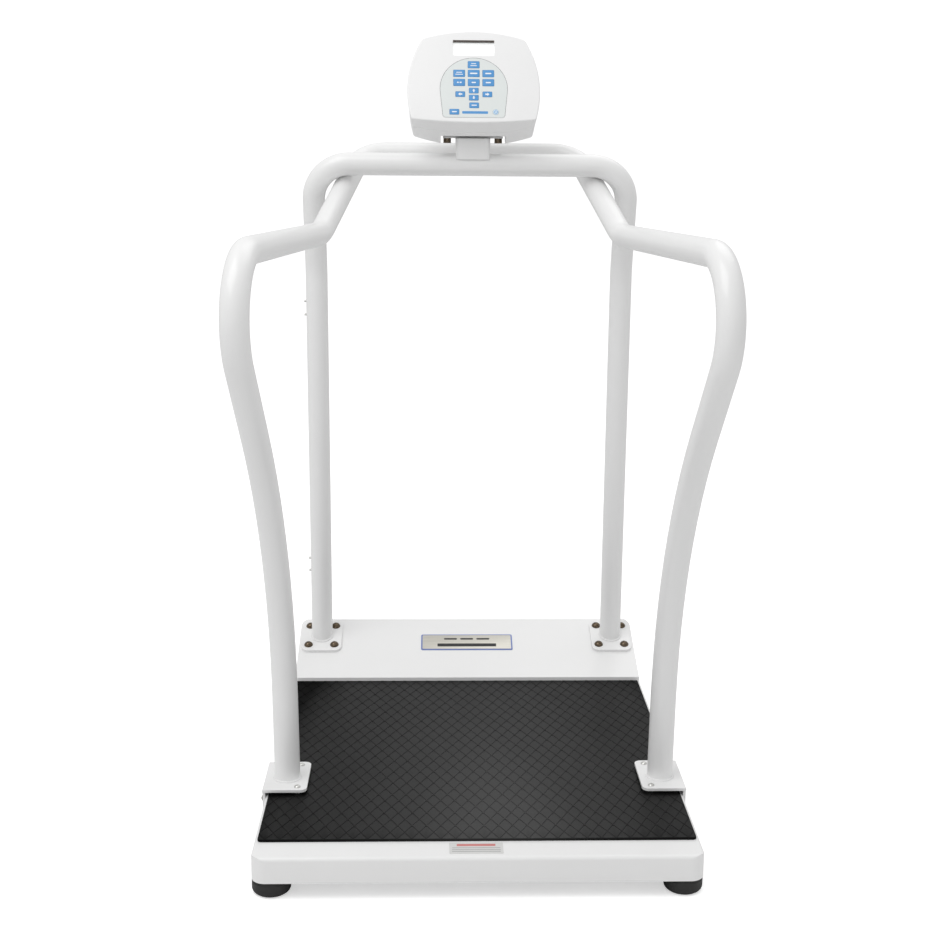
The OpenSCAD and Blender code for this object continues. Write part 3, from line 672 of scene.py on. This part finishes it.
def face_outline(shape, g):
    """The head's outline moved outwards by g, as (x, z) points, anticlockwise from the right side."""
    side, low, low_r = shape
    arcs = [(-side, 0.052, SIDE_R), (0, FACE_H - TOP_R, TOP_R), (side, 0.052, SIDE_R), (0, low, low_r)]
    near = [(0.10, 0.14), (-0.10, 0.14), (-0.10, 0), (0.10, 0)]
    bends = [max(r, 0.0004 - g) for r in CORNER_R]
    corners = []
    for i in range(4):
        a, b = arcs[i], arcs[(i + 1) % 4]
        corners.append(circle_meet((a[0], a[1], a[2] - bends[i]), (b[0], b[1], b[2] - bends[i]), near[i]))
    pts = []
    for i, (cx, cz, r) in enumerate(arcs):
        nxt = arcs[(i + 1) % 4]
        end = angle_to((cx, cz), corners[i])
        pts += arc_points((cx, cz), r + g, angle_to((cx, cz), corners[i - 1]), end, 30)
        pts += arc_points(corners[i], bends[i] + g, end, angle_to(nxt, corners[i]), 9)
    return pts


def head_shape(y):
    """The outline's shape at a depth behind the face."""
    stations = [(0.004, FRONT_SHAPE), (FRONT_D, PARTING_SHAPE), (HEAD_D - 0.012, REAR_SHAPE)]
    if y <= stations[0][0]:
        return FRONT_SHAPE
    for (y0, s0), (y1, s1) in zip(stations, stations[1:]):
        if y <= y1:
            t = (y - y0) / (y1 - y0)
            lower = s0[1] - s0[2] + t * ((s1[1] - s1[2]) - (s0[1] - s0[2]))
            bend = 1 / (1 / s0[2] + t * (1 / s1[2] - 1 / s0[2]))
            return (s0[0] + t * (s1[0] - s0[0]), lower + bend, bend)
    return REAR_SHAPE


def face_ring(g, y):
    return [(x, y, z) for x, z in face_outline(head_shape(y), g)]


def box_shape(x0, x1, y0, y1, z0, z1):
    return prism([(x0, z0), (x1, z0), (x1, z1), (x0, z1)], y0, y1)


WINDOW = (0.069, 0.028, 0.1285)      # width, height, middle height of the display's window
KEYPAD_R = 0.0555
RECESS = 0.0034                      # depth of the keypad's recess, below a pressed key's back
SCREW_X, SCREW_Z = 0.066, (0.014, 0.132)
KEYPAD_C = 0.0545


def keypad_outline(g, steps=72):
    """Arched outline of the keypad: a circle run down to a flat foot with small corners."""
    low = Vector((0.046, 0.008))
    small, big = 0.005, KEYPAD_R
    hub = Vector((0, KEYPAD_C))
    away = low - hub
    reach = away.length
    lean = math.acos((big - small) / reach)
    tangent = math.atan2(away.y, away.x) + lean       # direction of the straight's normal, right side
    pts = []
    for k in range(steps + 1):
        a = tangent + (math.pi - 2 * tangent) * k / steps
        pts.append((hub.x + (big + g) * math.cos(a), hub.y + (big + g) * math.sin(a)))
    for side, a0, a1 in ((-1, math.pi - tangent, 1.5 * math.pi), (1, -math.pi / 2, tangent)):
        for k in range(9):
            a = a0 + (a1 - a0) * k / 8
            pts.append((side * low.x + (small + g) * math.cos(a), low.y + (small + g) * math.sin(a)))
    return pts


def head_front():
    r = 0.0026
    rings = []
    for i in range(9):
        a = math.pi / 2 * i / 8
        rings.append(face_ring(-r * (1 - math.sin(a)), r * (1 - math.cos(a))))
    rings += [face_ring(0, FRONT_D * s) for s in (0.3, 0.5, 0.7, 0.85)]
    rings += [face_ring(0, FRONT_D - 0.0009), face_ring(-0.0006, FRONT_D - 0.0003),
              face_ring(-0.0012, FRONT_D), face_ring(-0.003, FRONT_D), face_ring(-0.003, 0.0095),
              face_ring(-0.0045, 0.0058), face_ring(-0.007, 0.0055)]
    v, f = loft(rings)
    obj = make("head_front_shell", v, f, [PLASTIC, KEYPAD_EDGE_SHADE, WINDOW_SHADE])
    # Painted shade: the recess walls round the keypad take a dark colour, standing in for the shade in the
    # gap between film and shell.
    cut(obj, *prism(keypad_outline(0.0003), -0.002, RECESS), look=KEYPAD_EDGE_SHADE)
    w, h, c = WINDOW
    cut(obj, *prism([(x, z + c) for x, z in rounded_rect(w, h, 0.0012)], -0.002, 0.02), look=PLASTIC)
    obj.data.transform(HEAD)
    finish_piece(obj, ["head_front"], BODY, sharp=32)
    return obj


head_front()


def head_rear():
    r = 0.010
    rings = [face_ring(-0.003, FRONT_D), face_ring(-0.0012, FRONT_D), face_ring(-0.0006, FRONT_D + 0.0003),
             face_ring(0, FRONT_D + 0.0009)]
    rings += [face_ring(0, FRONT_D + s) for s in (0.008, 0.016, 0.024)]
    for i in range(9):
        a = math.pi / 2 * i / 8
        rings.append(face_ring(-r * (1 - math.cos(a)), HEAD_D - r * (1 - math.sin(a))))
    outer = len(rings) - 1
    rings += [face_ring(-0.012, HEAD_D - 0.003), face_ring(-0.005, HEAD_D - 0.008)]
    v, f = loft(rings + [rings[0]], closed_ends=False)
    n = len(rings[0])
    # the back wall: an outer and an inner cap take the place of the strip between their rims
    f = f[:outer * n] + f[(outer + 1) * n:]
    f.append(tuple(outer * n + i for i in range(n)))
    f.append(tuple((outer + 1) * n + i for i in range(n))[::-1])
    obj = make("head_rear_shell", v, f, [PLASTIC, KEYPAD_EDGE_SHADE])
    bm = bmesh.new()
    bm.from_mesh(obj.data)
    bmesh.ops.remove_doubles(bm, verts=bm.verts, dist=1e-6)
    bmesh.ops.recalc_face_normals(bm, faces=bm.faces)
    bm.to_mesh(obj.data)
    bm.free()
    door_lo, door_hi = head_box("battery_door")
    gap = 0.0004
    cut(obj, *box_shape(door_lo.x - gap, door_hi.x + gap, HEAD_D - 0.020, HEAD_D + 0.01,
                        door_lo.z - gap, door_hi.z + gap), look=PLASTIC)
    tilt = Matrix.Rotation(HEAD_TILT, 4, "X")
    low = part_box("neck_bracket")[1].z - HEAD_AT.z
    v, f = loft([[(x, y, z) for x, y in ((-0.054, 0), (0.054, 0), (0.054, 0.2), (-0.054, 0.2))]
                 for z in (low - 0.08, low)])
    cut(obj, [tilt @ Vector(p) for p in v], f, look=PLASTIC)
    for x in (-SCREW_X, SCREW_X):
        for z in SCREW_Z:
            cut(obj, *prism([(x + a, z + b) for a, b in circle(0.0035)], FRONT_D + 0.008, HEAD_D + 0.01),
                look=PLASTIC)
    obj.data.transform(HEAD)
    finish_piece(obj, ["head_rear"], BODY, sharp=32)
    return obj


def neck():
    """The folded neck: a rounded post that straddles the bar, and the plate that the head is bolted to."""
    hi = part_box("neck_bracket")[1]
    plate_t = 0.0035
    top = hi.z - plate_t
    w, d, r = 0.058, 0.042, 0.008
    bar = at_depth(0, 661, 967)
    low = bar.z + 0.009
    v, f = loft([[(HEAD_X + x, bar.y + y, z) for x, y in rounded_rect(w, d, r, 8)] for z in (low, top)])
    obj = make("neck_post", v, f, [PAINT])
    ring = circle(TUBE_R, 64)
    cut(obj, *loft([[(HEAD_X + s * w, bar.y + y, bar.z + z) for y, z in ring] for s in (-1, 1)]), look=PAINT)
    mod = obj.modifiers.new("edges", "BEVEL")
    mod.width = 0.0012
    mod.segments = 3
    mod.limit_method = "ANGLE"
    mod.angle_limit = math.radians(40)
    finish_piece(obj, ["neck_bracket"], BODY, sharp=40)
    v, f = pillow(lambda g: [(HEAD_X + x, bar.y + 0.003 + y)
                             for x, y in rounded_rect(0.100 + 2 * g, 0.030 + 2 * g, 0.002)],
                  top, hi.z, 0.0006)
    plate = make("neck_plate", v, f, [PAINT])


neck()


def head_box(name):
    """Lowest and highest corner of a CAD node in the head's own directions."""
    back = HEAD.inverted()
    pts = [back @ v.co for v in frame["nodes"][name].data.vertices]
    lo = Vector([min(p[i] for p in pts) for i in range(3)])
    hi = Vector([max(p[i] for p in pts) for i in range(3)])
    return lo, hi


head_rear()

# ---------------------------------------------------------------- keypad

KEYS = [n for n in frame["nodes"] if n.startswith("key_")]


def ring_mark(r, width, at, steps=28, gap=0.0):
    """A ring, or an open ring with a gap at its top."""
    a0, a1 = math.pi / 2 + gap / 2, math.pi / 2 + 2 * math.pi - gap / 2
    n = steps
    outer = [(at[0] + r * math.cos(a0 + (a1 - a0) * k / n), at[1] + r * math.sin(a0 + (a1 - a0) * k / n))
             for k in range(n + 1)]
    inner = [(at[0] + (r - width) * math.cos(a0 + (a1 - a0) * k / n),
              at[1] + (r - width) * math.sin(a0 + (a1 - a0) * k / n)) for k in range(n + 1)]
    return outer + inner[::-1]


def bar_mark(x, z, w, h):
    return [(x + a, z + b) for a, b in rounded_rect(w, h, min(w, h) * 0.3, 2)]


def arrow_mark(direction, size):
    turn = {"right": 0, "up": 90, "left": 180, "down": 270}[direction]
    shape = [(1.0, 0), (0.0, 0.85), (0.0, 0.35), (-1.0, 0.35), (-1.0, -0.35), (0.0, -0.35), (0.0, -0.85)]
    c, s = math.cos(math.radians(turn)), math.sin(math.radians(turn))
    return [(size * (c * x - s * z), size * (s * x + c * z)) for x, z in shape]


def marks_of(name):
    """White printed marks of a key, as outlines round its middle."""
    if name in ("key_left", "key_right", "key_up", "key_down"):
        direction = name[4:]
        size = 0.0029 if direction in ("up", "down") else 0.0034
        return [arrow_mark(direction, size)]
    if name == "key_power":
        return []
    plans = {
        "key_top": [(0, 0.0018, 0.0080, 0.0013), (0, -0.0018, 0.0105, 0.0013)],
        "key_a1": [(0, 0.0018, 0.0095, 0.0013), (0, -0.0018, 0.0125, 0.0013)],
        "key_a2": [(0, 0, 0.0120, 0.0024)], "key_a3": [(0, 0, 0.0100, 0.0024)],
        "key_b1": [(-0.0022, 0, 0.0030, 0.0022), (0.0024, 0, 0.0034, 0.0022)],
        "key_b2": [(0, 0, 0.0070, 0.0022)], "key_b3": [(0, 0, 0.0085, 0.0022)],
        "key_enter": [(0, 0, 0.0085, 0.0018)], "key_mode": [(0, 0, 0.0080, 0.0020)],
    }
    return [bar_mark(*p) for p in plans[name]]


def key_cap(name):
    lo, hi = head_box(name)
    w, h = hi.x - lo.x, hi.z - lo.z
    front, rear = lo.y, hi.y
    cx, cz = (lo.x + hi.x) / 2, (lo.z + hi.z) / 2
    if name == "key_power":
        def outline(g):
            return circle(w / 2 + g, 40)
    else:
        def outline(g):
            return rounded_rect(w + 2 * g, h + 2 * g, 0.0011 + g, 5)
    v, f = pillow(outline, -rear, -front, 0.0003, depth_axis="y")
    parts = [([(x + cx, y, z + cz) for x, y, z in v], f, 0)]
    print_y = front - 0.00003
    if name == "key_power":
        shapes = [ring_mark(0.0030, 0.0007, (0, 0), gap=1.2), bar_mark(0, 0.0020, 0.0008, 0.0034)]
        looks = [POWER_KEY, KEY]
    else:
        shapes = marks_of(name)
        looks = [KEY, PRINT]
    for shape in shapes:
        v, f = prism([(x + cx, z + cz) for x, z in shape], print_y, front + 0.0002)
        parts.append((v, f, 1))
    v, f, look_of = join_parts(parts)
    make(name + "_print", v, f, looks, [name], name + "_cap", look_of=look_of, at=HEAD, sharp=40)


for name in KEYS:
    key_cap(name)


def keypad_film():
    """The keypad's film, with an opening for each key, and the printed bar at its foot."""
    t = 0.0008
    v, f = prism(keypad_outline(-0.0002), 0.0, t)
    obj = make("keypad_film", v, f, [OVERLAY, KEY])
    for name in KEYS:
        lo, hi = head_box(name)
        cx, cz = (lo.x + hi.x) / 2, (lo.z + hi.z) / 2
        w, h = hi.x - lo.x, hi.z - lo.z
        if name == "key_power":
            hole = circle(w / 2 + 0.0003, 40)
        else:
            hole = rounded_rect(w + 0.0006, h + 0.0006, 0.0013, 5)
        cut(obj, *prism([(x + cx, z + cz) for x, z in hole], -0.001, 0.003), look=OVERLAY)
    obj.data.transform(HEAD)
    finish_piece(obj, ["keypad_overlay"], BODY, flat=True)
    print_bar = [(x + 0.0020, z + 0.0120) for x, z in rounded_rect(0.0424, 0.0046, 0.0012)]
    v, f = prism(print_bar, -0.00004, 0.0002)
    bar = make("keypad_print_bar", v, f, [KEY], at=HEAD, flat=True)


keypad_film()


def display_window():
    w, h, c = WINDOW
    v, f = pillow(lambda g: [(x, z + c)
                             for x, z in rounded_rect(w - 0.0002 + 2 * g, h - 0.0002 + 2 * g, 0.0012)],
                  -0.0045, -0.0025, 0.0003, depth_axis="y")
    make("display_lens", v, f, [LENS], ["lcd_window"], at=HEAD)
    # Painted shade: a thin dark strip along the window's top edge stands in for the shade under the recess's
    # upper wall.
    strip = [(x, z + c + h / 2 - 0.0010) for x, z in rounded_rect(w - 0.0006, 0.0019, 0.0004)]
    v, f = prism(strip, 0.0004, 0.0024)
    window_shade_strip = make("window_painted_shade", v, f, [WINDOW_SHADE], at=HEAD)


display_window()

# ---------------------------------------------------------------- stage, light and camera

SKY = 0.69              # strength of the backdrop as a light
FLOOR_BOUNCE = 0.80     # how much light the floor sends back to the object
FLOOR_GLOW = 0.50       # what lifts the floor to white in the view
FLOOR_HALF = 40.0
BACKDROP_SHOWN = 1.1    # strength of the backdrop in the view
CAMERA_AT = (-0.0645, -2.20101, 1.0084)
YAW, PITCH, ROLL = 0.0304, 0.2273, 0.0086
LENS_MM, SENSOR_MM = 54.94, 36


def two_faced(tree, shown, cast, out):
    """Shows one shader to the camera and lights the object with the other."""
    path = node(tree, "ShaderNodeLightPath", (-500, 300))
    mix = node(tree, "ShaderNodeMixShader", (0, 0))
    tree.links.new(path.outputs["Is Camera Ray"], mix.inputs["Fac"])
    tree.links.new(cast.outputs[0], mix.inputs[1])
    tree.links.new(shown.outputs[0], mix.inputs[2])
    tree.links.new(mix.outputs[0], out.inputs["Surface"])


def stage():
    """A plain white floor and backdrop, dimmer as a light source than they look."""
    size = FLOOR_HALF
    me = bpy.data.meshes.new("floor")
    corners = [(-size, -size, 0), (size, -size, 0), (size, size, 0), (-size, size, 0)]
    me.from_pydata(corners, [], [(0, 1, 2, 3)])
    floor = bpy.data.objects.new("floor", me)
    bpy.context.scene.collection.objects.link(floor)
    m = bpy.data.materials.new("pale_floor")
    m.use_nodes = True
    t = m.node_tree
    p = t.nodes["Principled BSDF"]
    p.inputs["Base Color"].default_value = (0.92, 0.92, 0.92, 1)
    p.inputs["Roughness"].default_value = 0.9
    p.inputs["Emission Color"].default_value = (1, 1, 1, 1)
    p.inputs["Emission Strength"].default_value = FLOOR_GLOW
    dim = node(t, "ShaderNodeBsdfDiffuse", (-300, -300), Color=(FLOOR_BOUNCE, FLOOR_BOUNCE, FLOOR_BOUNCE, 1))
    two_faced(t, p, dim, t.nodes["Material Output"])
    me.materials.append(m)

    world = bpy.data.worlds.new("studio")
    bpy.context.scene.world = world
    world.use_nodes = True
    t = world.node_tree
    shown = t.nodes["Background"]
    shown.inputs["Color"].default_value = (1, 1, 1, 1)
    shown.inputs["Strength"].default_value = BACKDROP_SHOWN
    cast = node(t, "ShaderNodeBackground", (-300, -200), Color=(1, 1, 1, 1), Strength=SKY)
    two_faced(t, shown, cast, t.nodes["World Output"])


def soft_light(name, at, aim, size, power):
    data = bpy.data.lights.new(name, "AREA")
    data.shape = "RECTANGLE"
    data.size, data.size_y = size
    data.energy = power
    obj = bpy.data.objects.new(name, data)
    bpy.context.scene.collection.objects.link(obj)
    obj.location = at
    obj.rotation_mode = "QUATERNION"
    obj.rotation_quaternion = (Vector(aim) - Vector(at)).to_track_quat("-Z", "Y")


def camera():
    yaw, pitch, roll = YAW, PITCH, ROLL
    ahead = Vector((math.sin(yaw) * math.cos(pitch), math.cos(yaw) * math.cos(pitch), -math.sin(pitch)))
    right = Vector((math.cos(yaw), -math.sin(yaw), 0))
    up = right.cross(ahead)
    r = math.cos(roll) * right + math.sin(roll) * up
    u = -math.sin(roll) * right + math.cos(roll) * up
    data = bpy.data.cameras.new("camera")
    data.sensor_width = SENSOR_MM
    data.lens = LENS_MM
    data.clip_start, data.clip_end = 0.05, 100
    cam = bpy.data.objects.new("camera", data)
    bpy.context.scene.collection.objects.link(cam)
    x, y, z = CAMERA_AT
    cam.matrix_world = Matrix(((r.x, u.x, -ahead.x, x), (r.y, u.y, -ahead.y, y),
                               (r.z, u.z, -ahead.z, z), (0, 0, 0, 1)))
    bpy.context.scene.camera = cam


stage()
soft_light("key_light", (-1.3, -1.0, 3.2), (0, 0, 0.5), (2.2, 2.2), 35)
soft_light("rim_light", (0.9, 1.2, 2.9), (0, 0.2, 0.6), (2.0, 2.0), 13)
soft_light("front_light", (-0.4, -3.6, 1.2), (0, 0, 0.6), (3.0, 1.8), 3)
camera()
bpy.context.scene.view_settings.view_transform = "Standard"
